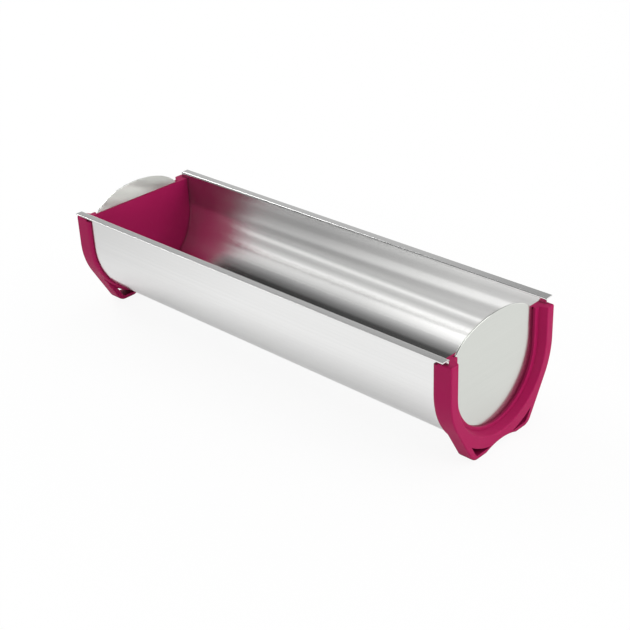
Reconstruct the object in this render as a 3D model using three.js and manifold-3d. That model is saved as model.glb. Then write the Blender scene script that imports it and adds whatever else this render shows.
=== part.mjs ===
// Yule log mould: a stainless steel trough closed by two silicone end caps.
// Each cap stands on two feet, grips the end of the trough in a slit and holds a steel end plate in a pocket.
// Millimetres. +X runs along the trough, +Z is up, and z = 0 is the table under the feet.

import * as THREE from 'three';
import { mergeVertices } from 'three/addons/utils/BufferGeometryUtils.js';
import Module from 'manifold-3d';

// Trough: one bent sheet, half round below, with straight sides and a rim turned outwards.
const TROUGH_LENGTH = 300;
const TROUGH_WIDTH = 85;        // inside, between the side walls
const SIDE_HEIGHT = 23;         // from the centre of the half round up to the top of the rim
const SHEET = 0.8;              // sheet thickness
const RIM_OVERHANG = 4.7;       // how far the rim stands out past the side wall
const RIM_BEND = 0.3;           // radius under the rim, on the inner side of the bend
const GROUND_CLEARANCE = 4.2;   // from the table up to the trough's lowest line

// End cap: a moulded silicone ring round the end of the trough, closed by a thin inner wall.
const FIT = 0.3;                // clearance between pieces that fit together
const SKIRT_WALL = 1.6;         // silicone outside the trough
const SKIRT_FLAT = 11.0;        // length of the ring that has its full thickness
const SKIRT_BEVEL = 1.5;        // length of the bevel down to the trough
const SKIRT_TIP = 0.4;          // thickness left at the end of the bevel
const END_WALL = 3.1;           // silicone beyond the end of the trough
const PLUG_WALL = 3.6;          // silicone inside the trough
const RECESS_DEPTH = 4.6;       // from the outer face in to the lip
const LIP_THICKNESS = 1.5;      // lip that holds the plate from outside
const LIP_COVER = 1.0;          // how far the lip covers the edge of the plate
const INNER_WALL = 1.2;         // wall that closes the end of the trough
const CAP_DROP = 2.5;           // from the underside of the rim down to the cap's top

// Feet: two hollow corners under each cap, with a shallow arch between them.
const FOOT_ANGLE = 29.5;        // degrees below level at which the foot's side leaves the ring
const FOOT_CORNER = 6.0;        // outer corner radius
const FOOT_FLAT = 8.0;          // width of the flat sole
const FOOT_SKIN = 3.4;          // silicone at the side of the foot's hole
const FOOT_SOLE = 2.5;          // silicone under the hole
const FOOT_ROOF = 0.7;          // silicone added to the ring above the hole
const HOLE_CORNER = 2.5;        // radius of the hole's lower corner
const ARCH_SKIN = 1.3;          // silicone under the trough at the top of the arch

// End plate: a steel tongue with a half round foot and a domed top.
const PLATE_THICKNESS = 1.0;
const PLATE_MARGIN = 7.3;       // from the trough's inner side wall in to the plate's side
const PLATE_LIFT = 6.0;         // from the trough's floor up to the plate's lowest point
const PLATE_RISE = 8.3;         // from the rim up to the top of the dome
const DOME_HEIGHT = 17.2;

// Curve divisions: a curve gets twice as many facets.
const ROUND_STEPS = 24;
const CORNER_STEPS = 4;

// Heights and radii that follow.
const innerRadius = TROUGH_WIDTH / 2;
const outerRadius = innerRadius + SHEET;
const axisHeight = GROUND_CLEARANCE + outerRadius;
const rimHeight = axisHeight + SIDE_HEIGHT;
const ringRadius = outerRadius + FIT + SKIRT_WALL;
const plugRadius = innerRadius - FIT;
const recessRadius = plugRadius - PLUG_WALL;
const capTop = rimHeight - SHEET - CAP_DROP;
const plateRadius = innerRadius - PLATE_MARGIN;
const plateFoot = GROUND_CLEARANCE + SHEET + PLATE_LIFT;
const plateCentre = plateFoot + plateRadius;
const plateTop = rimHeight + PLATE_RISE;

// Stations along X at one end, from the trough's end inwards.
const troughEnd = TROUGH_LENGTH / 2;
const slitEnd = troughEnd + FIT;
const capFace = slitEnd + END_WALL;
const lipFace = capFace - RECESS_DEPTH;
const pocketOuter = lipFace - LIP_THICKNESS;
const plateOuter = pocketOuter - FIT;
const plateInner = plateOuter - PLATE_THICKNESS;
const pocketInner = plateInner - FIT;
const innerFace = pocketInner - INNER_WALL;
const ringStart = capFace - SKIRT_FLAT;
const skirtStart = ringStart - SKIRT_BEVEL;

// Cutting shapes run past what they cut by this much.
const OVERRUN = 5;
const overTop = plateTop + OVERRUN;

const wasm = await Module();
wasm.setup();

function toSolid(geometry) {
  const bare = geometry.clone();
  bare.deleteAttribute('normal');
  bare.deleteAttribute('uv');
  const merged = mergeVertices(bare);
  return new wasm.Manifold(new wasm.Mesh({
    numProp: 3,
    vertProperties: new Float32Array(merged.attributes.position.array),
    triVerts: new Uint32Array(merged.index.array),
  }));
}

function toGeometry(solid) {
  const mesh = solid.getMesh();
  const geometry = new THREE.BufferGeometry();
  geometry.setAttribute('position', new THREE.BufferAttribute(mesh.vertProperties, 3));
  geometry.setIndex(new THREE.BufferAttribute(mesh.triVerts, 1));
  geometry.computeVertexNormals();
  return geometry;
}

// Turns a shape drawn in (y, z) into a bar along X, starting at the given station.
function standAlongX(geometry, start) {
  const axes = new THREE.Matrix4().makeBasis(
    new THREE.Vector3(0, 1, 0),
    new THREE.Vector3(0, 0, 1),
    new THREE.Vector3(1, 0, 0),
  );
  return geometry.applyMatrix4(axes).translate(start, 0, 0);
}

function bar(shape, start, end) {
  const options = { depth: end - start, bevelEnabled: false, curveSegments: ROUND_STEPS };
  return standAlongX(new THREE.ExtrudeGeometry(shape, options), start);
}

// A U: half round below its centre, with straight sides up to the given height.
function uShape(radius, centre, top) {
  const shape = new THREE.Shape();
  shape.moveTo(radius, top);
  shape.lineTo(radius, centre);
  shape.absarc(0, centre, radius, 0, -Math.PI, true);
  shape.lineTo(-radius, top);
  return shape;
}

// The trough's section: down the outside of one side, up the other, and back along the inside.
function troughShape() {
  const rimEdge = outerRadius + RIM_OVERHANG;
  const rimUnder = rimHeight - SHEET;
  const bendCentreY = outerRadius + RIM_BEND;
  const bendCentreZ = rimUnder - RIM_BEND;
  const bendOuter = RIM_BEND + SHEET;
  const quarter = Math.PI / 2;
  const shape = new THREE.Shape();
  shape.moveTo(rimEdge, rimHeight);
  shape.lineTo(rimEdge, rimUnder);
  shape.absarc(bendCentreY, bendCentreZ, RIM_BEND, quarter, Math.PI, false);
  shape.absarc(0, axisHeight, outerRadius, 0, -Math.PI, true);
  shape.absarc(-bendCentreY, bendCentreZ, RIM_BEND, 0, quarter, false);
  shape.lineTo(-rimEdge, rimUnder);
  shape.lineTo(-rimEdge, rimHeight);
  shape.absarc(-bendCentreY, bendCentreZ, bendOuter, quarter, 0, true);
  shape.absarc(0, axisHeight, innerRadius, Math.PI, 2 * Math.PI, false);
  shape.absarc(bendCentreY, bendCentreZ, bendOuter, Math.PI, quarter, true);
  return shape;
}

const footTilt = THREE.MathUtils.degToRad(FOOT_ANGLE);

// Where a line parallel to the foot's side, at this distance from the trough's axis, reaches a height.
function sideAtHeight(distance, height) {
  return (distance - (axisHeight - height) * Math.sin(footTilt)) / Math.cos(footTilt);
}

// How far a corner of this radius, between the foot's side and its sole, reaches along the sole.
function cornerReach(radius) {
  return radius * Math.tan((Math.PI / 2 - footTilt) / 2);
}

const soleOuter = sideAtHeight(ringRadius, 0) - cornerReach(FOOT_CORNER);
const soleInner = soleOuter - FOOT_FLAT;

// The cap seen from its end: ring, and a foot on each side that leaves the ring as a tangent.
function capShape() {
  const down = -Math.PI / 2;
  const shape = new THREE.Shape();
  shape.moveTo(ringRadius, capTop);
  shape.lineTo(ringRadius, axisHeight);
  shape.absarc(0, axisHeight, ringRadius, 0, -footTilt, true);
  shape.absarc(soleOuter, FOOT_CORNER, FOOT_CORNER, -footTilt, down, true);
  shape.absarc(-soleOuter, FOOT_CORNER, FOOT_CORNER, down, footTilt - Math.PI, true);
  shape.absarc(0, axisHeight, ringRadius, footTilt - Math.PI, -Math.PI, true);
  shape.lineTo(-ringRadius, capTop);
  return shape;
}

// The round that hollows the underside between the two soles.
function archShape() {
  const rise = GROUND_CLEARANCE - FIT - ARCH_SKIN;
  const radius = (soleInner ** 2 + rise ** 2) / (2 * rise);
  const shape = new THREE.Shape();
  shape.absarc(0, rise - radius, radius, 0, 2 * Math.PI, false);
  return shape;
}

// The hole through one foot: the ring above, the foot's side and the sole. side is 1 or -1 along Y.
function footHoleShape(side) {
  const roofRadius = ringRadius + FOOT_ROOF;
  const skinDistance = ringRadius - FOOT_SKIN;
  const soleDepth = axisHeight - FOOT_SOLE;
  const cornerY = sideAtHeight(skinDistance, FOOT_SOLE) - cornerReach(HOLE_CORNER);
  const soleAngle = -Math.asin(soleDepth / roofRadius);
  const skinAngle = -footTilt - Math.acos(skinDistance / roofRadius);
  const hole = new THREE.Shape();
  hole.absarc(cornerY, FOOT_SOLE + HOLE_CORNER, HOLE_CORNER, -footTilt, -Math.PI / 2, true);
  hole.absarc(0, axisHeight, roofRadius, soleAngle, skinAngle, false);
  const points = hole.getPoints(CORNER_STEPS);
  return new THREE.Shape(points.map((point) => new THREE.Vector2(side * point.x, point.y)));
}

// The end plate seen from its end: half round below, with straight sides and a domed top.
function plateShape() {
  const shape = new THREE.Shape();
  shape.absarc(0, plateCentre, plateRadius, Math.PI, 2 * Math.PI, false);
  shape.absellipse(0, plateTop - DOME_HEIGHT, plateRadius, DOME_HEIGHT, 0, Math.PI, false);
  return shape;
}

// The ring's bevelled skirt: a solid U whose ends draw in, so that only the inner end shows past the ring.
function skirtBar() {
  const drawIn = SKIRT_WALL - SKIRT_TIP;
  const geometry = new THREE.ExtrudeGeometry(uShape(ringRadius - drawIn, axisHeight, capTop), {
    depth: capFace - skirtStart - 2 * SKIRT_BEVEL,
    bevelThickness: SKIRT_BEVEL,
    bevelSize: drawIn,
    bevelSegments: 1,
    curveSegments: ROUND_STEPS,
  });
  return standAlongX(geometry, ringStart);
}

function capGeometry() {
  const ring = toSolid(bar(capShape(), ringStart, capFace));
  const skirt = toSolid(skirtBar());

  const topWidth = 2 * (ringRadius + OVERRUN);
  const topHeight = overTop - capTop;
  const topLength = capFace - skirtStart + 2 * OVERRUN;
  const topBox = new THREE.BoxGeometry(topLength, topWidth, topHeight);
  const top = toSolid(topBox.translate((capFace + skirtStart) / 2, 0, capTop + topHeight / 2));

  const troughOutside = uShape(outerRadius + FIT, axisHeight, overTop);
  const troughInside = uShape(plugRadius, axisHeight, overTop);
  const mouth = toSolid(bar(troughOutside, skirtStart - OVERRUN, innerFace));
  const slitOutside = toSolid(bar(troughOutside, innerFace - OVERRUN, slitEnd));
  const slitInside = toSolid(bar(troughInside, innerFace - 2 * OVERRUN, slitEnd + OVERRUN));
  const slit = slitOutside.subtract(slitInside);

  const recess = toSolid(bar(uShape(recessRadius, axisHeight, overTop), lipFace, capFace + OVERRUN));
  const windowU = uShape(plateRadius - LIP_COVER, plateCentre, overTop);
  const lipWindow = toSolid(bar(windowU, plateOuter, capFace + OVERRUN));
  const pocket = toSolid(bar(uShape(plateRadius + FIT, plateCentre, overTop), pocketInner, pocketOuter));

  const arch = toSolid(bar(archShape(), skirtStart - OVERRUN, capFace + OVERRUN));

  let cap = ring.add(skirt).subtract(top).subtract(mouth).subtract(slit);
  cap = cap.subtract(recess).subtract(lipWindow).subtract(pocket).subtract(arch);
  for (const side of [-1, 1]) {
    const hole = bar(footHoleShape(side), skirtStart - OVERRUN, capFace + OVERRUN);
    cap = cap.subtract(toSolid(hole));
  }
  return toGeometry(cap);
}

const steel = { color: 0xc8cac9, metalness: 1.0, roughness: 0.3 };
const plateSteel = { color: 0xd2d3d0, metalness: 1.0, roughness: 0.38 };
const silicone = { color: 0x9c2a57, metalness: 0.0, roughness: 0.55 };

function piece(name, geometry, finish) {
  const mesh = new THREE.Mesh(geometry, new THREE.MeshStandardMaterial(finish));
  mesh.name = name;
  return mesh;
}

const mould = new THREE.Group();
mould.add(piece('trough', bar(troughShape(), -troughEnd, troughEnd), steel));

// Both ends are alike: the right one at +X, the left one turned half round about the upright axis.
const ends = [
  { side: 'right', turn: 0 },
  { side: 'left', turn: Math.PI },
];
for (const { side, turn } of ends) {
  const end = new THREE.Group();
  end.rotation.z = turn;
  end.add(piece(`end_cap_${side}`, capGeometry(), silicone));
  end.add(piece(`end_plate_${side}`, bar(plateShape(), plateInner, plateOuter), plateSteel));
  mould.add(end);
}

export default mould;
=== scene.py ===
"""Looks of the yule log mould: a bent steel trough, two soft end caps and two steel end plates."""

import math

import bmesh
import bpy
from mathutils import Matrix, Vector


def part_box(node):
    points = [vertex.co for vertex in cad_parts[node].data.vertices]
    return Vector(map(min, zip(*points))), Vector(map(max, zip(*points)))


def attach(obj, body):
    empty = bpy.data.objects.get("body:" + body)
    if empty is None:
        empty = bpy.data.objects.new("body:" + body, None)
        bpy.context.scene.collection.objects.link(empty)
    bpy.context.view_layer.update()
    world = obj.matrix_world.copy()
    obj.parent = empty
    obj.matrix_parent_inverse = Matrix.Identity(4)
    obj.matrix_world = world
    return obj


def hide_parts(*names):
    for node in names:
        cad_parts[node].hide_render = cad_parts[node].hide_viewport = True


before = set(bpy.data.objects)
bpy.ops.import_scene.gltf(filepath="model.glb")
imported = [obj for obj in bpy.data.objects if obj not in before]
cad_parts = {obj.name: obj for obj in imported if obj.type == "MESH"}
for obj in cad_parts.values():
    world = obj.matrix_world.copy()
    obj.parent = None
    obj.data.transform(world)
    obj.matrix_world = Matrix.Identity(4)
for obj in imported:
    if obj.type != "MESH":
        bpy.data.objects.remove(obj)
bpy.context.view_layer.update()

MM = 0.001
HAIR = 0.01 * MM                # points closer than this are one point

# Trough sheet.
SHEET = 0.8 * MM
RIM_OVERHANG = 4.7 * MM
RIM_BEND = 0.7 * MM             # radius at the middle of the sheet
RIM_BEND_STEPS = 10
SHEET_EDGE = 0.16 * MM          # rounding of the cut edges
SHEET_EDGE_STEPS = 2
HALF_ROUND_STEPS = 128

# End plates.
DOME_HEIGHT = 17.2 * MM
PLATE_EDGE = 0.25 * MM
PLATE_EDGE_STEPS = 3
PLATE_STEPS = 192

# End caps: the fit, the draft of the recess and the roundings are finer than in the solids.
SNUG = 0.08 * MM                # the soft cap hugs the sheet and the plate
CAP_AXIS = 47.5 * MM
PLUG_WALL = 5.0 * MM            # at the lip; the recess widens from there to its mouth
DRAFT = 1.6 * MM                # how much wider the recess is at its mouth
INNER_WALL = 1.4 * MM
LIP_THICKNESS = 1.7 * MM
LIP_COVER = 1.0 * MM
FOOT_TILT = math.radians(29.5)
FOOT_CORNER = 6.0 * MM
FOOT_CORNER_STEPS = 10
FOOT_FLAT = 8.0 * MM
FOOT_SKIN = 3.4 * MM
FOOT_SOLE = 2.5 * MM
FOOT_ROOF = 0.7 * MM
HOLE_CORNER = 1.5 * MM
HOLE_CORNER_STEPS = 6
HOLE_ROOF_STEPS = 12
HOLE_SEED = 1 * MM              # the hole is drawn from a point this far off the middle
ARCH_RISE = 2.6 * MM
ARCH_STEPS = 24
SKIRT_LENGTH = 3.0 * MM
SKIRT_DRAWN_IN = 1.5 * MM
SKIRT_OVERLAP = 2 * MM          # how far it runs into the body
SHOULDER_TURN = 18              # degrees from one ring of the skirt's rounding to the next
SHOULDER_RINGS = 6
MOUTH_TURN = 22.5               # the same for a rounded mouth
MOUTH_RINGS = 5

# End caps: how far each kind of edge is rounded.
SOFT_OUTER = 0.8 * MM
SOFT_OUTER_STEPS = 4
SOFT_TOP = 1.0 * MM
SOFT_TOP_STEPS = 5
SOFT_INNER = 0.4 * MM
CAP_STEPS = 64
CAP_OUTLINE_STEPS = 360
FOOT_LEAVES = 0.2 * MM          # room kept free where the foot's side leaves the ring
CUT_PAST = 5.0 * MM             # cutters run past what they cut

# Edges sharper than these are bevelled or stay crisp.
BEVELLED_EDGE = math.radians(50)
STEEL_CREASE = math.radians(30)
CAP_CREASE = math.radians(40)

# Brushed steel.
LINE_SCALE, STREAK_SCALE, SMUDGE_SCALE = 1.0, 0.14, 18.0
LINE_SHARE, STREAK_SHARE = 0.6, 0.4
STREAK_STRENGTH = 0.30
STREAK_RELIEF = 0.1 * MM
SMUDGE_ROUGHNESS = 0.03

# Inside of the trough.
SHEET_LEAN = 0.14               # how far its normals lean along the mould
WALL_SHADE_SHARE = 0.34                # how much darker the straight walls are painted than the round: painted shade on their reflections
WALL_FOOT = (CAP_AXIS - 1 * MM, CAP_AXIS + 3 * MM)      # height at which that comes in
WALL_SHADE_FROM = (-0.02, 1.15)  # place along the mould and share of it, towards the far end
WALL_SHADE_TO = (0.10, 0.15)     # the same towards the near end
# the dark grey mixed in as painted shade on the straight inner walls
WALL_SHADE_TONE = (0.10, 0.10, 0.10, 1)

# Slanting sweeps of a rougher finish, on the side of the plates that faces the trough.
PLATE_BACK_SATIN = (0.19, 0.42)
SWEEP_TILT = math.radians(22)
SWEEP_FIRST = 63.3 * MM
SWEEP_STEP = 15.0 * MM

# Silicone, with painted shade that darkens it in the corners.
RASPBERRY = ((0.320, 0.0045, 0.069, 1), (0.355, 0.0060, 0.080, 1))
RASPBERRY_ROUGHNESS = (0.46, 0.58)
RASPBERRY_SPECULAR = 0.12
MOTTLE_SCALE, GRAIN_SCALE, DUST_SCALE = 55.0, 2600.0, 420.0
GRAIN_STRENGTH = 0.12
GRAIN_RELIEF = 0.03 * MM
DUST_SHARE = 0.04
DUST_TONE = (0.50, 0.10, 0.22, 1)
SHADE_REACH = 5.0 * MM
SHADE_DEPTH = 0.7
CORNER_SHADE_TONE = (0.08, 0.001, 0.014, 1)

# Floor: its white comes up with the distance from the mould's own shadow.
FLOOR_SIZE = 8.0
FLOOR_DROP = 0.1 * MM
FLOOR_TONE = (0.90, 0.90, 0.90, 1)
SHADOW_END = 0.10               # the shadow runs this far along the mould, and then thins out
SHADOW_END_SLOPE = 1.3
SEEN_WHITE = (0.05, 0.25, 0.90, 0.99)           # from and to this distance: this share of white
MIRRORED_WHITE = (0.035, 0.12, 0.30, 0.96)      # the same in the steel
FAR_FLOOR_DIM = (-0.30, -0.08, 0.30, 0.0)       # from and to this place along the mould: painted shade on the floor's glow where the steel mirrors it

# Walls and strip lights that run along the mould: (degrees up from the back horizon and over, brightness).
STUDIO_BANDS = (
    (0, 1.6), (18, 1.5), (25, 1.15), (32, 0.90), (42, 0.64), (50, 0.70), (58, 1.15),
    (65, 1.2), (70, 0.60), (79, 0.66), (95, 0.70), (108, 0.50), (119, 0.10), (132, 0.10),
    (138, 0.34), (145, 0.68), (155, 1.3), (165, 1.55), (180, 1.55),
)
# The same from the far end to the near end: (share of a full step along the mould, brightness).
STUDIO_ALONG = (
    (-0.56, 0.60), (-0.46, 0.28), (-0.28, 0.72), (-0.23, 1.0), (-0.18, 0.95), (-0.13, 1.0),
    (-0.04, 1.35), (0.05, 1.5), (0.2, 1.3), (0.5, 0.8), (0.8, 0.9), (0.92, 2.4),
)

# Camera, from the photograph.
VIEW_AZIMUTH = 44.620
VIEW_ELEVATION = 28.082
VIEW_ROLL = -2.588
VIEW_PLACE = (0.495890, -0.487754, 0.397765)
FOCAL_PIXELS = 1290.49
IMAGE_PIXELS = 630
SENSOR = 36.0
NEAREST_SEEN = 0.01


# Modelling helpers

def deselect():
    if bpy.context.object and bpy.context.object.mode != "OBJECT":
        bpy.ops.object.mode_set(mode="OBJECT")
    bpy.ops.object.select_all(action="DESELECT")


def work_on(piece):
    deselect()
    piece.select_set(True)
    bpy.context.view_layer.objects.active = piece


def edit(piece, kind="VERT"):
    work_on(piece)
    bpy.ops.object.mode_set(mode="EDIT")
    bpy.ops.mesh.select_mode(type=kind)
    bpy.ops.mesh.select_all(action="DESELECT")


def pick(piece, wanted):
    """Selects the vertices that wanted(place) names, in edit mode."""
    mesh = bmesh.from_edit_mesh(piece.data)
    for vertex in mesh.verts:
        vertex.select = wanted(vertex.co)
    mesh.select_flush_mode()
    bmesh.update_edit_mesh(piece.data)


def close(a, b):
    return abs(a - b) < 2 * HAIR


def add_modifier(piece, kind, **settings):
    work_on(piece)
    modifier = piece.modifiers.new(kind.lower(), kind)
    for key, value in settings.items():
        setattr(modifier, key, value)
    bpy.ops.object.modifier_apply(modifier=modifier.name)


def smooth(piece, crease):
    work_on(piece)
    bpy.ops.object.shade_smooth_by_angle(angle=crease)
    add_modifier(piece, "WEIGHTED_NORMAL", keep_sharp=True)


def soften_edges(piece, width, steps):
    add_modifier(
        piece, "BEVEL", width=width, segments=steps, limit_method="ANGLE", angle_limit=BEVELLED_EDGE
    )


def pull_along(length):
    """Pulls what is drawn in edit mode along the trough, and turns its faces outwards."""
    bpy.ops.mesh.select_all(action="SELECT")
    bpy.ops.mesh.extrude_region_move(TRANSFORM_OT_translate={"value": (length, 0, 0)})
    bpy.ops.mesh.select_all(action="SELECT")
    bpy.ops.mesh.normals_make_consistent(inside=False)



def ring_of_points(name, steps, radius, place, filled):
    """A circle that stands across the trough, facing along it."""
    deselect()
    bpy.ops.mesh.primitive_circle_add(
        vertices=steps,
        radius=radius,
        fill_type="NGON" if filled else "NOTHING",
        location=place,
        rotation=(0, math.pi / 2, 0),
    )
    piece = bpy.context.object
    piece.name = name
    piece.data.name = name
    bpy.ops.object.transform_apply(location=True, rotation=True, scale=True)
    return piece


def lay_grain(piece, along, across):
    """A UV map whose U runs along the brushing, so that the sheen follows it."""
    layer = piece.data.uv_layers.get("grain") or piece.data.uv_layers.new(name="grain")
    for loop in piece.data.loops:
        place = piece.data.vertices[loop.vertex_index].co
        layer.data[loop.index].uv = (along(place), across(place))


# Pieces

def make_trough():
    low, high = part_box("trough")
    outer_radius = high.y - RIM_OVERHANG
    axis = low.z + outer_radius
    radius = outer_radius - SHEET / 2
    rim = high.z - SHEET / 2
    trough = ring_of_points("steel_trough", 2 * HALF_ROUND_STEPS, radius, (low.x, 0, axis), False)

    edit(trough)
    pick(trough, lambda place: place.z > axis + HAIR)
    bpy.ops.mesh.delete(type="VERT")
    for side in (-1, 1):
        pick(trough, lambda place: close(place.z, axis) and close(place.y, side * radius))
        bpy.ops.mesh.extrude_vertices_move(TRANSFORM_OT_translate={"value": (0, 0, rim - axis)})
        bpy.ops.mesh.extrude_vertices_move(TRANSFORM_OT_translate={"value": (0, side * (high.y - radius), 0)})
    pick(trough, lambda place: close(place.z, rim) and close(abs(place.y), radius))
    bpy.ops.mesh.bevel(offset=RIM_BEND, segments=RIM_BEND_STEPS, affect="VERTICES")
    pull_along(high.x - low.x)
    bpy.ops.object.mode_set(mode="OBJECT")

    add_modifier(trough, "SOLIDIFY", thickness=SHEET, offset=0.0, use_even_offset=True)
    soften_edges(trough, SHEET_EDGE, SHEET_EDGE_STEPS)
    smooth(trough, STEEL_CREASE)

    def round_the_section(place):
        if place.z < axis:
            return radius * math.atan2(place.y, axis - place.z)
        past = place.z - axis + abs(place.y) - radius
        return math.copysign(radius * math.pi / 2 + past, place.y)

    lay_grain(trough, lambda place: place.x, round_the_section)
    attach(trough, "trough")
    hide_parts("trough")
    return trough


def make_end_plate(side):
    node = f"end_plate_{side}"
    low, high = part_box(node)
    radius = high.y
    centre = low.z + radius
    dome_foot = high.z - DOME_HEIGHT
    plate = ring_of_points(f"steel_{node}", PLATE_STEPS, radius, (low.x, 0, centre), True)

    edit(plate)
    pick(plate, lambda place: place.z > centre + HAIR)
    bpy.ops.transform.translate(value=(0, 0, dome_foot - centre))
    bpy.ops.transform.resize(value=(1, 1, DOME_HEIGHT / radius), center_override=(low.x, 0, dome_foot))
    pull_along(high.x - low.x)
    bpy.ops.object.mode_set(mode="OBJECT")

    soften_edges(plate, PLATE_EDGE, PLATE_EDGE_STEPS)
    smooth(plate, STEEL_CREASE)
    lay_grain(plate, lambda place: place.y, lambda place: place.z)
    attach(plate, node)
    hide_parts(node)
    return plate


def u_bar(name, radius, centre, top, stations):
    """A solid U along the trough. Stations are (x, growth) pairs: growth widens the U there."""
    first, growth = stations[0]
    bar = ring_of_points(name, 2 * CAP_STEPS, radius + growth, (first, 0, centre), True)
    edit(bar)
    pick(bar, lambda place: place.z > centre + HAIR)
    bpy.ops.transform.resize(value=(1, 1, 0), center_override=(first, 0, top))
    bpy.ops.mesh.select_all(action="SELECT")
    for station, wider in stations[1:]:
        bpy.ops.mesh.extrude_region_move(TRANSFORM_OT_translate={"value": (station - first, 0, 0)})
        scale = (radius + wider) / (radius + growth)
        bpy.ops.transform.resize(value=(1, scale, scale), center_override=(station, 0, centre))
        first, growth = station, wider
    bpy.ops.mesh.select_all(action="SELECT")
    bpy.ops.mesh.normals_make_consistent(inside=False)
    bpy.ops.object.mode_set(mode="OBJECT")
    return bar


def rounded_mouth(face, radius, past):
    """Stations that flare a cutter out to a face, so that it leaves a round edge there."""
    angles = [math.radians(MOUTH_TURN * step) for step in range(MOUTH_RINGS)]
    flare = [(face - radius + radius * math.sin(turn), radius * (1 - math.cos(turn))) for turn in angles]
    return flare + [(face + past, radius)]


def cut_away(piece, cutter):
    add_modifier(piece, "BOOLEAN", operation="DIFFERENCE", object=cutter, solver="EXACT")
    bpy.data.objects.remove(cutter)


def extrude_point(piece, wanted, move):
    pick(piece, wanted)
    bpy.ops.mesh.extrude_vertices_move(TRANSFORM_OT_translate={"value": move})


def cap_body(start, high):
    """The cap's outline, drawn round the trough's axis with its two feet and arch, and pulled out along X."""
    ring, axis, tilt = high.y, CAP_AXIS, FOOT_TILT
    sole_corner = (ring - axis * math.sin(tilt)) / math.cos(tilt)
    corner_reach = FOOT_CORNER * math.tan((math.pi / 2 - tilt) / 2)
    sole_inner = sole_corner - corner_reach - FOOT_FLAT
    leave_y, leave_z = ring * math.cos(tilt), axis - ring * math.sin(tilt)

    body = ring_of_points("cap_body", CAP_OUTLINE_STEPS, ring, (start, 0, axis), False)
    edit(body)
    pick(body, lambda place: place.z > axis + HAIR or place.z < leave_z + FOOT_LEAVES)
    bpy.ops.mesh.delete(type="VERT")
    for side in (-1, 1):
        points = [vertex.co.copy() for vertex in bmesh.from_edit_mesh(body.data).verts]
        lowest = min((place for place in points if place.y * side > 0), key=lambda place: place.z)
        leg = (0, 0, high.z - axis)
        extrude_point(body, lambda place: close(place.z, axis) and close(place.y, side * ring), leg)
        step = Vector((0, side * leave_y, leave_z)) - Vector((0, lowest.y, lowest.z))
        extrude_point(body, lambda place: (place - lowest).length < HAIR, step)
        bpy.ops.mesh.extrude_vertices_move(
            TRANSFORM_OT_translate={"value": (0, side * (sole_corner - leave_y), -leave_z)}
        )
        bpy.ops.mesh.extrude_vertices_move(
            TRANSFORM_OT_translate={"value": (0, side * (sole_inner - sole_corner), 0)}
        )
    arch_radius = (sole_inner ** 2 + ARCH_RISE ** 2) / (2 * ARCH_RISE)
    arch_turn = 2 * math.asin(sole_inner / arch_radius)
    pick(body, lambda place: close(place.z, 0) and close(place.y, -sole_inner))
    arch_centre = (start, 0, ARCH_RISE - arch_radius)
    bpy.ops.mesh.spin(steps=ARCH_STEPS, angle=arch_turn, center=arch_centre, axis=(1, 0, 0))
    bpy.ops.mesh.select_all(action="SELECT")
    bpy.ops.mesh.remove_doubles(threshold=HAIR)
    pick(body, lambda place: close(place.z, high.z))
    bpy.ops.mesh.edge_face_add()
    pick(body, lambda place: close(place.z, 0) and close(abs(place.y), sole_corner))
    bpy.ops.mesh.bevel(offset=corner_reach, segments=FOOT_CORNER_STEPS, affect="VERTICES")
    pick(body, lambda place: close(place.z, high.z))
    bpy.ops.mesh.bevel(offset=SOFT_TOP, segments=SOFT_TOP_STEPS, affect="VERTICES")
    bpy.ops.mesh.select_all(action="SELECT")
    bpy.ops.mesh.edge_face_add()
    pull_along(high.x - start)
    for face in (start, high.x):
        pick(body, lambda place: close(place.x, face))
        bpy.ops.mesh.bevel(
            offset=SOFT_OUTER, segments=SOFT_OUTER_STEPS, affect="EDGES", clamp_overlap=False
        )
    bpy.ops.object.mode_set(mode="OBJECT")
    return body, arch_radius


def skirt_bar(low, high, start):
    """The ring's thin end, rounded over towards the middle of the trough."""
    length, drawn_in = start - low.x, SKIRT_DRAWN_IN
    turns = [math.radians(SHOULDER_TURN * step) for step in range(SHOULDER_RINGS)]
    shoulder = [(low.x + length * (1 - math.cos(turn)), drawn_in * (math.sin(turn) - 1)) for turn in turns]
    return u_bar("skirt", high.y, CAP_AXIS, high.z - 2 * SOFT_TOP, shoulder + [(start + SKIRT_OVERLAP, 0)])


def arch_roller(low, radius):
    """The round that hollows the underside between the soles."""
    deselect()
    bpy.ops.mesh.primitive_cylinder_add(
        vertices=CAP_OUTLINE_STEPS,
        radius=radius,
        depth=4 * CUT_PAST,
        location=(low.x, 0, ARCH_RISE - radius),
        rotation=(0, math.pi / 2, 0),
    )
    bpy.ops.object.transform_apply(location=True, rotation=True, scale=True)
    return bpy.context.object


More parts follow.
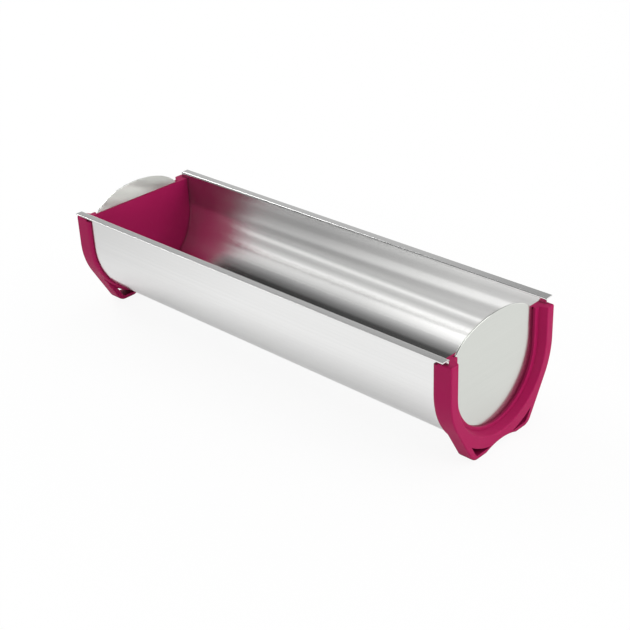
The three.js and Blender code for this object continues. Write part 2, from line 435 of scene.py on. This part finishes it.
def foot_hole(low, high, side):
    """The three-cornered hole through a foot: ring above, the foot's side, and the sole."""
    axis, tilt = CAP_AXIS, FOOT_TILT
    roof = high.y + FOOT_ROOF
    skin = high.y - FOOT_SKIN
    corner = (skin - (axis - FOOT_SOLE) * math.sin(tilt)) / math.cos(tilt)
    tip_angle = math.asin((axis - FOOT_SOLE) / roof)
    top_angle = tilt + math.acos(skin / roof)
    middle = (low.x + high.x) / 2
    back = low.x - CUT_PAST
    hole = ring_of_points("foot_hole", 4, HOLE_SEED, (back, 0, 0), False)
    edit(hole)
    pick(hole, lambda place: True)
    bpy.ops.mesh.delete(type="EDGE_FACE")
    pick(hole, lambda place: place.y > HOLE_SEED / 2)
    bpy.ops.mesh.select_all(action="INVERT")
    bpy.ops.mesh.delete(type="VERT")
    pick(hole, lambda place: True)
    tip = Vector((0, roof * math.cos(tip_angle), axis - roof * math.sin(tip_angle)))
    bpy.ops.transform.translate(value=tip - Vector((0, HOLE_SEED, 0)))
    bpy.ops.mesh.spin(
        steps=HOLE_ROOF_STEPS, angle=top_angle - tip_angle, center=(back, 0, axis), axis=(1, 0, 0)
    )
    to_corner = (0, corner - roof * math.cos(top_angle), FOOT_SOLE - axis + roof * math.sin(top_angle))
    bpy.ops.mesh.extrude_vertices_move(TRANSFORM_OT_translate={"value": to_corner})
    bpy.ops.mesh.select_all(action="SELECT")
    bpy.ops.mesh.edge_face_add()
    pick(hole, lambda place: close(place.y, corner) and close(place.z, FOOT_SOLE))
    bpy.ops.mesh.bevel(offset=HOLE_CORNER, segments=HOLE_CORNER_STEPS, affect="VERTICES")
    bpy.ops.mesh.select_all(action="SELECT")
    bpy.ops.mesh.extrude_region_move(
        TRANSFORM_OT_translate={"value": (high.x - low.x + 2 * CUT_PAST, 0, 0)}
    )
    bpy.ops.mesh.select_all(action="SELECT")
    if side < 0:
        bpy.ops.transform.resize(value=(1, -1, 1), center_override=(middle, 0, 0))
    bpy.ops.mesh.normals_make_consistent(inside=False)
    bpy.ops.object.mode_set(mode="OBJECT")
    return hole


def make_end_cap():
    """The cap at +X, cut from its body as the mould forms it."""
    low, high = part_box("end_cap_right")
    plate_low, plate_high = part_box("end_plate_right")
    trough_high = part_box("trough")[1]
    outside = trough_high.y - RIM_OVERHANG + SNUG
    inside = outside - SHEET - 2 * SNUG
    recess = inside - PLUG_WALL
    plate_radius = plate_high.y
    plate_centre = plate_low.z + plate_radius
    top = plate_high.z + CUT_PAST
    pocket_inner = plate_low.x - SNUG
    pocket_outer = plate_high.x + SNUG
    inner_face = pocket_inner - INNER_WALL
    lip_face = pocket_outer + LIP_THICKNESS

    start = low.x + SKIRT_LENGTH
    cap, arch_radius = cap_body(start, high)
    skirt = skirt_bar(low, high, start)
    cut_away(skirt, arch_roller(low, arch_radius))
    add_modifier(cap, "BOOLEAN", operation="UNION", object=skirt, solver="EXACT")
    bpy.data.objects.remove(skirt)
    cut_away(cap, u_bar("mouth", outside, CAP_AXIS, top, [(low.x - CUT_PAST, 0), (inner_face, 0)]))

    slit = u_bar("slit", outside, CAP_AXIS, top, [(inner_face - CUT_PAST, 0), (trough_high.x + SNUG, 0)])
    plug_ends = [(inner_face - 2 * CUT_PAST, 0), (trough_high.x + CUT_PAST, 0)]
    cut_away(slit, u_bar("plug", inside, CAP_AXIS, top + CUT_PAST, plug_ends))
    cut_away(cap, slit)

    flare = [(x, DRAFT + growth) for x, growth in rounded_mouth(high.x, SOFT_OUTER, CUT_PAST)]
    cut_away(cap, u_bar("recess", recess, CAP_AXIS, top, [(lip_face, 0)] + flare))
    flare = rounded_mouth(lip_face, SOFT_INNER, CUT_PAST)
    cut_away(cap, u_bar("window", plate_radius - LIP_COVER, plate_centre, top, [(plate_high.x, 0)] + flare))
    pocket_ends = [(pocket_inner, 0), (pocket_outer, 0)]
    cut_away(cap, u_bar("pocket", plate_radius + SNUG, plate_centre, top, pocket_ends))
    for side in (-1, 1):
        cut_away(cap, foot_hole(low, high, side))
    return cap


def place_end_cap(cap, side):
    node = f"end_cap_{side}"
    if side == "left":
        cap = cap.copy()
        cap.data = cap.data.copy()
        bpy.context.scene.collection.objects.link(cap)
        edit(cap)
        bpy.ops.mesh.select_all(action="SELECT")
        bpy.ops.transform.rotate(value=math.pi, orient_axis="Z", center_override=(0, 0, 0))
        bpy.ops.object.mode_set(mode="OBJECT")
    cap.name = f"silicone_{node}"
    cap.data.name = cap.name
    smooth(cap, CAP_CREASE)
    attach(cap, node)
    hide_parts(node)
    return cap


# Materials

class Nodes:
    """A node tree with short calls to add and join nodes."""

    def __init__(self, tree):
        self.tree = tree
        tree.nodes.clear()

    def add(self, kind, inputs=None, **settings):
        node = self.tree.nodes.new(kind)
        for key, value in settings.items():
            setattr(node, key, value)
        for key, value in (inputs or {}).items():
            if isinstance(value, bpy.types.NodeSocket):
                self.tree.links.new(value, node.inputs[key])
            else:
                node.inputs[key].default_value = value
        return node

    def math(self, operation, a, b):
        return self.add("ShaderNodeMath", {0: a, 1: b}, operation=operation).outputs[0]

    def span(self, value, from_low, from_high, to_low, to_high):
        ends = {"From Min": from_low, "From Max": from_high, "To Min": to_low, "To Max": to_high}
        return self.add("ShaderNodeMapRange", {"Value": value, **ends}).outputs["Result"]

    def dot(self, a, b):
        return self.add("ShaderNodeVectorMath", {0: a, 1: b}, operation="DOT_PRODUCT").outputs["Value"]

    def axes(self, vector):
        return self.add("ShaderNodeSeparateXYZ", {0: vector}).outputs

    def mix(self, share, a, b):
        return self.add("ShaderNodeMix", {0: share, 6: a, 7: b}, data_type="RGBA").outputs[2]

    def ramp(self, value, low, high, stops):
        """A grey that follows (value, brightness) stops."""
        node = self.add("ShaderNodeValToRGB", {"Fac": self.span(value, low, high, 0.0, 1.0)})
        marks = node.color_ramp.elements
        while len(marks) < len(stops):
            marks.new(0.5)
        for mark, (at, level) in zip(marks, stops):
            mark.position = (at - low) / (high - low)
            mark.color = (level, level, level, 1)
        return node.outputs["Color"]

    def noise(self, vector, scale, detail, roughness):
        node = self.add(
            "ShaderNodeTexNoise",
            {"Vector": vector, "Scale": scale, "Detail": detail, "Roughness": roughness},
        )
        return node.outputs["Fac"]

    def bump(self, height, strength, distance):
        return self.add("ShaderNodeBump", {"Height": height, "Strength": strength, "Distance": distance})

    def join(self, value, node, socket):
        self.tree.links.new(value, node.inputs[socket])


def group(name, inputs, outputs):
    tree = bpy.data.node_groups.new(name, "ShaderNodeTree")
    for socket, kind in inputs:
        tree.interface.new_socket(name=socket, in_out="INPUT", socket_type=kind)
    for socket, kind in outputs:
        tree.interface.new_socket(name=socket, in_out="OUTPUT", socket_type=kind)
    nodes = Nodes(tree)
    return tree, nodes, nodes.add("NodeGroupInput"), nodes.add("NodeGroupOutput")


FLOAT = "NodeSocketFloat"
VECTOR = "NodeSocketVector"


def brushed_lines_group():
    """Fine lines of a brushed sheet and slow streaks, from coordinates stretched along the brushing."""
    tree, nodes, start, end = group(
        "brushed_lines",
        [("Stretched", VECTOR), ("Fine", FLOAT), ("Coarse", FLOAT)],
        [("Lines", FLOAT), ("Streaks", FLOAT)],
    )
    fine = nodes.noise(start.outputs["Stretched"], start.outputs["Fine"], 1.0, 0.5)
    coarse = nodes.noise(start.outputs["Stretched"], start.outputs["Coarse"], 1.0, 0.5)
    nodes.join(nodes.span(fine, 0.3, 0.7, 0.0, 1.0), end, "Lines")
    nodes.join(nodes.span(coarse, 0.3, 0.7, 0.0, 1.0), end, "Streaks")
    return tree


def handling_group():
    """Soft smudges left by hands and by wiping."""
    tree, nodes, start, end = group("handling", [("Place", VECTOR), ("Scale", FLOAT)], [("Smudge", FLOAT)])
    broad = nodes.noise(start.outputs["Place"], start.outputs["Scale"], 3.0, 0.55)
    nodes.join(nodes.span(broad, 0.45, 0.75, 0.0, 1.0), end, "Smudge")
    return tree


def use(nodes, tree, inputs):
    return nodes.add("ShaderNodeGroup", inputs, node_tree=tree).outputs


def new_material(name):
    material = bpy.data.materials.new(name)
    material.use_nodes = True
    nodes = Nodes(material.node_tree)
    output = nodes.add("ShaderNodeOutputMaterial")
    shader = nodes.add("ShaderNodeBsdfPrincipled")
    nodes.join(shader.outputs[0], output, "Surface")
    return material, nodes, shader


def inside_of_trough(nodes, place, normal):
    """A mask that is 1 where the surface faces the trough's axis."""
    off_axis = nodes.add(
        "ShaderNodeVectorMath", {0: place, 1: (0, 1, 1), 2: (0, 0, -CAP_AXIS)}, operation="MULTIPLY_ADD"
    ).outputs[0]
    return nodes.math("LESS_THAN", nodes.dot(off_axis, normal), 0.0)


def painted_wall_shade(nodes, inside, place):
    """How much painted shade darkens the straight walls inside: most towards the far end."""
    axes = nodes.axes(place)
    wall = nodes.math("MULTIPLY", inside, nodes.span(axes["Z"], *WALL_FOOT, 0.0, WALL_SHADE_SHARE))
    (far, most), (near, least) = WALL_SHADE_FROM, WALL_SHADE_TO
    return nodes.math("MULTIPLY", wall, nodes.span(axes["X"], far, near, most, least))


def back_sweeps(nodes, place, normal):
    """How much rougher a plate is where it faces the trough, in slanting sweeps."""
    facing_out = nodes.math("MULTIPLY", nodes.axes(place)["X"], nodes.axes(normal)["X"])
    across = nodes.dot(place, (0, math.sin(SWEEP_TILT), math.cos(SWEEP_TILT)))
    swing = nodes.math("MULTIPLY", nodes.math("SUBTRACT", across, SWEEP_FIRST), math.tau / SWEEP_STEP)
    sweeps = nodes.add("ShaderNodeMath", {0: swing}, operation="COSINE").outputs[0]
    satin = nodes.span(sweeps, -1.0, 1.0, *PLATE_BACK_SATIN)
    return nodes.math("MULTIPLY", nodes.math("LESS_THAN", facing_out, 0.0), satin)


def steel(name, lines_tree, smudge_tree, stretch, tones, roughness, anisotropy, turn):
    """Brushed stainless steel whose lines run along the short side of stretch."""
    material, nodes, shader = new_material(name)
    place = nodes.add("ShaderNodeTexCoord").outputs["Object"]
    normal = nodes.add("ShaderNodeNewGeometry").outputs["Normal"]
    stretched = nodes.add("ShaderNodeMapping", {"Vector": place, "Scale": stretch}).outputs[0]
    grain = use(nodes, lines_tree, {"Stretched": stretched, "Fine": LINE_SCALE, "Coarse": STREAK_SCALE})
    smudge = use(nodes, smudge_tree, {"Place": place, "Scale": SMUDGE_SCALE})["Smudge"]
    fine = nodes.math("MULTIPLY", grain["Lines"], LINE_SHARE)
    tone = nodes.math("ADD", fine, nodes.math("MULTIPLY", grain["Streaks"], STREAK_SHARE))
    colour = nodes.mix(tone, *tones)
    rough = nodes.span(tone, 0.0, 1.0, *roughness)
    rough = nodes.math("ADD", rough, nodes.math("MULTIPLY", smudge, SMUDGE_ROUGHNESS))
    if name == "plate_steel":
        rough = nodes.math("ADD", rough, back_sweeps(nodes, place, normal))
    if name == "trough_steel":
        inside = inside_of_trough(nodes, place, normal)
        # painted shade: the straight inner walls are darkened, most towards the far end
        colour = nodes.mix(painted_wall_shade(nodes, inside, place), colour, WALL_SHADE_TONE)
        push = nodes.add("ShaderNodeCombineXYZ", {"X": nodes.math("MULTIPLY", inside, SHEET_LEAN)}).outputs[0]
        leaned = nodes.add("ShaderNodeVectorMath", {0: normal, 1: push}, operation="ADD").outputs[0]
        relief = nodes.bump(grain["Streaks"], STREAK_STRENGTH, STREAK_RELIEF)
        nodes.join(leaned, relief, "Normal")
        nodes.join(relief.outputs[0], shader, "Normal")
    nodes.join(colour, shader, "Base Color")
    nodes.join(rough, shader, "Roughness")
    grain_way = nodes.add("ShaderNodeTangent", direction_type="UV_MAP", uv_map="grain")
    nodes.join(grain_way.outputs[0], shader, "Tangent")
    shader.inputs["Metallic"].default_value = 1.0
    shader.inputs["Anisotropic"].default_value = anisotropy
    shader.inputs["Anisotropic Rotation"].default_value = turn
    return material


def silicone(name):
    """Satin moulded silicone with a fine grain, a slow change of tone, faint dust and painted shade in its
    corners.
    """
    material, nodes, shader = new_material(name)
    place = nodes.add("ShaderNodeTexCoord").outputs["Object"]
    mottle = nodes.noise(place, MOTTLE_SCALE, 3.0, 0.5)
    grain = nodes.noise(place, GRAIN_SCALE, 2.0, 0.6)
    dust = nodes.span(nodes.noise(place, DUST_SCALE, 4.0, 0.7), 0.56, 0.72, 0.0, 1.0)
    colour = nodes.mix(mottle, *RASPBERRY)
    colour = nodes.mix(nodes.math("MULTIPLY", dust, DUST_SHARE), colour, DUST_TONE)
    # painted shade: ambient occlusion darkens the colour in corners and crevices
    corner_shade = nodes.add("ShaderNodeAmbientOcclusion", {"Distance": SHADE_REACH}, samples=8).outputs["AO"]
    colour = nodes.mix(nodes.span(corner_shade, 0.2, 0.8, SHADE_DEPTH, 0.0), colour, CORNER_SHADE_TONE)
    nodes.join(colour, shader, "Base Color")
    nodes.join(nodes.span(mottle, 0.3, 0.7, *RASPBERRY_ROUGHNESS), shader, "Roughness")
    relief = nodes.bump(grain, GRAIN_STRENGTH, GRAIN_RELIEF)
    nodes.join(relief.outputs[0], shader, "Normal")
    shader.inputs["Specular IOR Level"].default_value = RASPBERRY_SPECULAR
    return material


def dress(piece, material):
    piece.data.materials.clear()
    piece.data.materials.append(material)


# Studio

def make_floor():
    deselect()
    bpy.ops.mesh.primitive_plane_add(size=FLOOR_SIZE, location=(0, 0, -FLOOR_DROP))
    floor = bpy.context.object
    floor.name = "studio_floor"
    material, nodes, shader = new_material("pale_floor")
    shader.inputs["Base Color"].default_value = FLOOR_TONE
    shader.inputs["Roughness"].default_value = 0.9
    shader.inputs["Specular IOR Level"].default_value = 0.0
    rays = nodes.add("ShaderNodeLightPath").outputs
    mirrored = nodes.math("MAXIMUM", rays["Is Glossy Ray"], rays["Is Transmission Ray"])
    axes = nodes.axes(nodes.add("ShaderNodeTexCoord").outputs["Object"])
    # painted shade: the floor glows less towards the far end in what the steel mirrors
    dim = nodes.math("MULTIPLY", mirrored, nodes.span(axes["X"], *FAR_FLOOR_DIM))
    bright = nodes.math("SUBTRACT", 1.0, dim)
    lift = nodes.add("ShaderNodeEmission", {"Color": (1, 1, 1, 1), "Strength": bright})
    along = nodes.add("ShaderNodeMath", {0: axes["X"]}, operation="ABSOLUTE").outputs[0]
    past_end = nodes.span(along, SHADOW_END, SHADOW_END + FLOOR_SIZE, 0.0, SHADOW_END_SLOPE * FLOOR_SIZE)
    off_axis = nodes.add("ShaderNodeCombineXYZ", {"X": past_end, "Y": axes["Y"]}).outputs[0]
    away = nodes.add("ShaderNodeVectorMath", {0: off_axis}, operation="LENGTH").outputs["Value"]
    seen = nodes.math("MULTIPLY", rays["Is Camera Ray"], nodes.span(away, *SEEN_WHITE))
    mirrored = nodes.math("MULTIPLY", mirrored, nodes.span(away, *MIRRORED_WHITE))
    white = nodes.math("ADD", seen, mirrored)
    blend = nodes.add("ShaderNodeMixShader", {0: white, 1: shader.outputs[0], 2: lift.outputs[0]})
    output = next(node for node in nodes.tree.nodes if node.type == "OUTPUT_MATERIAL")
    nodes.join(blend.outputs[0], output, "Surface")
    dress(floor, material)


def make_world():
    world = bpy.data.worlds.new("studio")
    world.use_nodes = True
    bpy.context.scene.world = world
    nodes = Nodes(world.node_tree)
    output = nodes.add("ShaderNodeOutputWorld")
    direction = nodes.add("ShaderNodeTexCoord").outputs["Generated"]
    axes = nodes.axes(direction)
    turn = nodes.math("ARCTAN2", axes["Z"], axes["Y"])
    bands = [(math.radians(degrees), level) for degrees, level in STUDIO_BANDS]
    over = nodes.ramp(turn, 0.0, math.pi, bands)
    along = nodes.ramp(axes["X"], -1.0, 1.0, STUDIO_ALONG)
    colour = nodes.add("ShaderNodeVectorMath", {0: over, 1: along}, operation="MULTIPLY").outputs[0]
    sky = nodes.add("ShaderNodeBackground", {"Color": colour, "Strength": 1.0})
    nodes.join(sky.outputs[0], output, "Surface")


def make_lamp(name, place, target, size, power):
    light = bpy.data.lights.new(name, "AREA")
    light.shape = "RECTANGLE"
    light.size, light.size_y = size
    light.energy = power
    lamp = bpy.data.objects.new(name, light)
    bpy.context.scene.collection.objects.link(lamp)
    lamp.location = place
    lamp.rotation_euler = (Vector(target) - Vector(place)).to_track_quat("-Z", "Y").to_euler()


def make_camera():
    azimuth, elevation, roll = (math.radians(angle) for angle in (VIEW_AZIMUTH, VIEW_ELEVATION, VIEW_ROLL))
    back = Vector((
        math.sin(azimuth) * math.cos(elevation),
        -math.cos(azimuth) * math.cos(elevation),
        math.sin(elevation),
    ))
    right = Vector((math.cos(azimuth), math.sin(azimuth), 0))
    up = back.cross(right)
    level = Matrix((right, up, back)).transposed()
    data = bpy.data.cameras.new("photo_view")
    data.sensor_width = SENSOR
    data.lens = FOCAL_PIXELS * SENSOR / IMAGE_PIXELS
    data.clip_start = NEAREST_SEEN
    camera = bpy.data.objects.new("photo_view", data)
    bpy.context.scene.collection.objects.link(camera)
    turn = level @ Matrix.Rotation(roll, 3, "Z")
    camera.matrix_world = Matrix.Translation(VIEW_PLACE) @ turn.to_4x4()
    bpy.context.scene.camera = camera


lines = brushed_lines_group()
smudges = handling_group()
trough_steel = steel(
    "trough_steel", lines, smudges,
    stretch=(1.5, 1100.0, 1100.0), tones=((0.81, 0.81, 0.805, 1), (0.845, 0.845, 0.84, 1)),
    roughness=(0.130, 0.150), anisotropy=0.85, turn=0.0,
)
plate_steel = steel(
    "plate_steel", lines, smudges,
    stretch=(1100.0, 3.0, 1100.0), tones=((0.64, 0.655, 0.62, 1), (0.665, 0.68, 0.645, 1)),
    roughness=(0.11, 0.13), anisotropy=0.9, turn=0.25,
)
soft = silicone("raspberry_silicone")

dress(make_trough(), trough_steel)
first_cap = make_end_cap()
for side in ("right", "left"):
    dress(place_end_cap(first_cap, side), soft)
    dress(make_end_plate(side), plate_steel)

make_floor()
make_world()
make_lamp("key_box", (1.2, 0.5, 0.7), (0.05, 0, 0.04), (0.9, 0.9), 6.0)
make_lamp("top_box", (-1.2, 0.0, 1.0), (0, 0, 0.04), (0.8, 0.8), 11.0)
make_camera()

bpy.context.scene.view_settings.view_transform = "Standard"
